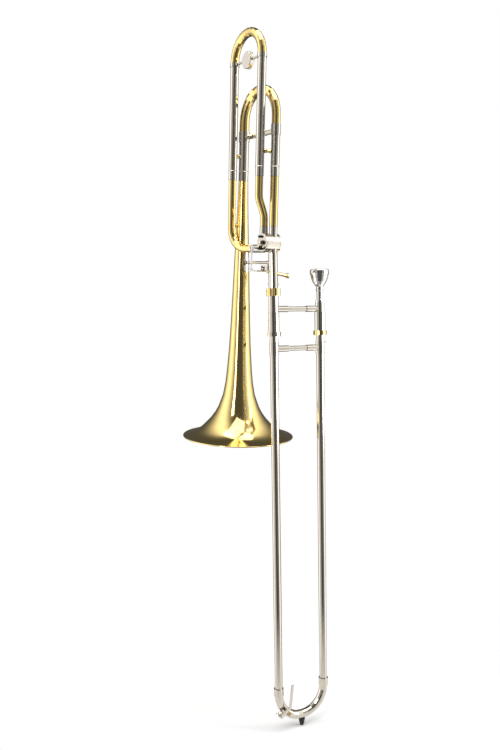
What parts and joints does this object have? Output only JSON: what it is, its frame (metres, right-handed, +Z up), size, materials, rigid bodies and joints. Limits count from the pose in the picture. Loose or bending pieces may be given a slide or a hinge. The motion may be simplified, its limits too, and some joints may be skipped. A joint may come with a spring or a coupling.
{
  "type": "tenor trombone",
  "caption": "Tenor trombone with a rotary valve loop, thumb lever, long hand slide, tuning slides, mouthpiece and counterweight.",
  "frame": {"origin": "centre of the rubber bumper's tip, under the hand slide's crook", "axes": "+Z up along both slide tubes, +X from the bell side tube to the mouthpiece side tube, +Y towards the bell"},
  "size_m": [0.238, 0.2584, 1.2898],
  "materials": {
    "lacquered_brass": "clear lacquer over polished yellow brass",
    "nickel_silver": "polished nickel silver",
    "silver_plate": "bright silver plate",
    "steel": "blued spring steel",
    "white_nylon": "moulded nylon",
    "black_rubber": "moulded rubber",
    "cork": "natural cork",
    "felt": "pressed felt"
  },
  "bodies": {
    "bell_section": {"bell": "lacquered_brass", "bell_brace": "nickel_silver", "gooseneck": "lacquered_brass", "loop_neck_tube": "lacquered_brass", "loop_elbow_tube": "lacquered_brass", "main_outer_leg_gooseneck_side": "nickel_silver", "main_outer_leg_bell_side": "nickel_silver", "loop_outer_leg_gooseneck_side": "nickel_silver", "loop_outer_leg_bell_side": "nickel_silver", "main_post_gooseneck_side": "lacquered_brass", "loop_post_high": "lacquered_brass", "loop_post_low": "lacquered_brass", "valve_casing": "nickel_silver", "valve_bearing_plate": "nickel_silver", "valve_back_cap": "nickel_silver", "stop_cork_lower": "black_rubber", "stop_cork_upper": "black_rubber", "lever_saddle": "nickel_silver", "thumb_lever_spring": "steel", "slide_receiver": "nickel_silver", "inner_slide_tube_bell_side": "silver_plate", "inner_slide_tube_mouthpiece_side": "silver_plate", "cork_bumper_bell_side": "felt", "cork_bumper_mouthpiece_side": "felt", "cork_barrel_bell_side": "nickel_silver", "cork_barrel_mouthpiece_side": "nickel_silver", "inner_brace_rod": "nickel_silver", "mouthpiece_receiver": "silver_plate", "leadpipe": "lacquered_brass"},
    "hand_slide": {"outer_slide_tube_bell_side": "nickel_silver", "outer_slide_tube_mouthpiece_side": "nickel_silver", "outer_slide_sleeve_bell_side": "nickel_silver", "outer_slide_sleeve_mouthpiece_side": "nickel_silver", "outer_brace_rod": "nickel_silver", "slide_crook": "nickel_silver", "crook_ferrule_bell_side": "nickel_silver", "crook_ferrule_mouthpiece_side": "nickel_silver", "slide_bumper": "black_rubber", "water_key_nipple": "nickel_silver", "water_key_saddle": "nickel_silver", "water_key_spring": "lacquered_brass"},
    "mouthpiece_body": {"mouthpiece": "silver_plate"},
    "lock_nut": {"slide_lock_nut": "lacquered_brass"},
    "slide_lock": {"slide_lock_ring": "lacquered_brass"},
    "main_tuning_slide": {"main_slide_leg_gooseneck_side": "nickel_silver", "main_slide_leg_bell_side": "nickel_silver", "main_tuning_bow": "lacquered_brass", "main_slide_brace": "nickel_silver"},
    "loop_tuning_slide": {"loop_slide_leg_gooseneck_side": "nickel_silver", "loop_slide_leg_bell_side": "nickel_silver", "loop_tuning_bow": "lacquered_brass", "counterweight_rod": "nickel_silver", "counterweight": "nickel_silver"},
    "lever": {"thumb_lever": "nickel_silver", "thumb_lever_rod": "lacquered_brass"},
    "rotor": {"valve_rotor": "lacquered_brass", "stop_arm": "nickel_silver"},
    "link": {"link_rod": "white_nylon"},
    "water_key": {"water_key_lever": "nickel_silver", "water_key_cork": "cork"}
  },
  "joints": [
    {"name": "hand_slide", "type": "slide", "parent": "bell_section", "child": "hand_slide", "axis": [0, 0, -1], "range_m": [0, 0.6]},
    {"name": "mouthpiece_pull", "type": "slide", "parent": "bell_section", "child": "mouthpiece_body", "axis": [0, 0, 1], "range_m": [0, 0.03]},
    {"name": "lock_nut_turn", "type": "hinge", "parent": "bell_section", "child": "lock_nut", "pos_m": [-0.049, 0, 0.8131], "axis": [0, 0, 1], "continuous": true},
    {"name": "slide_lock_turn", "type": "hinge", "parent": "bell_section", "child": "slide_lock", "pos_m": [0.049, 0, 0.7403], "axis": [0, 0, -1], "range_deg": [0, 18]},
    {"name": "main_tuning_pull", "type": "slide", "parent": "bell_section", "child": "main_tuning_slide", "axis": [0.0079, -0.0693, 0.9976], "range_m": [0, 0.05]},
    {"name": "loop_tuning_pull", "type": "slide", "parent": "bell_section", "child": "loop_tuning_slide", "axis": [0.0079, -0.0693, 0.9976], "range_m": [0, 0.12]},
    {"name": "thumb_lever_press", "type": "hinge", "parent": "bell_section", "child": "lever", "pos_m": [-0.05725, 0.01945, 0.86334], "axis": [-0.1129, 0.9912, 0.0698], "range_deg": [0, 32], "stiffness_Nm_per_rad": 0.08, "springref_deg": -34.38},
    {"name": "rotor_turn", "type": "hinge", "parent": "bell_section", "child": "rotor", "pos_m": [-0.04957, 0.00505, 0.90839], "axis": [0.9936, 0.1132, 0], "range_deg": [0, 90]},
    {"name": "link_swing", "type": "hinge", "parent": "rotor", "child": "link", "pos_m": [-0.08555, 0.01158, 0.8992], "axis": [0.9936, 0.1132, 0], "range_deg": [-90, 0]},
    {"name": "water_key_press", "type": "hinge", "parent": "hand_slide", "child": "water_key", "pos_m": [-0.03754, -0.0125, 0.0385], "axis": [-0.6428, 0, 0.766], "range_deg": [0, 12], "stiffness_Nm_per_rad": 0.05, "springref_deg": -28.65}
  ],
  "couplings": [
    {"joint": "rotor_turn", "follows": "thumb_lever_press", "ratio": 2.8125},
    {"joint": "link_swing", "follows": "thumb_lever_press", "ratio": -2.8125}
  ]
}
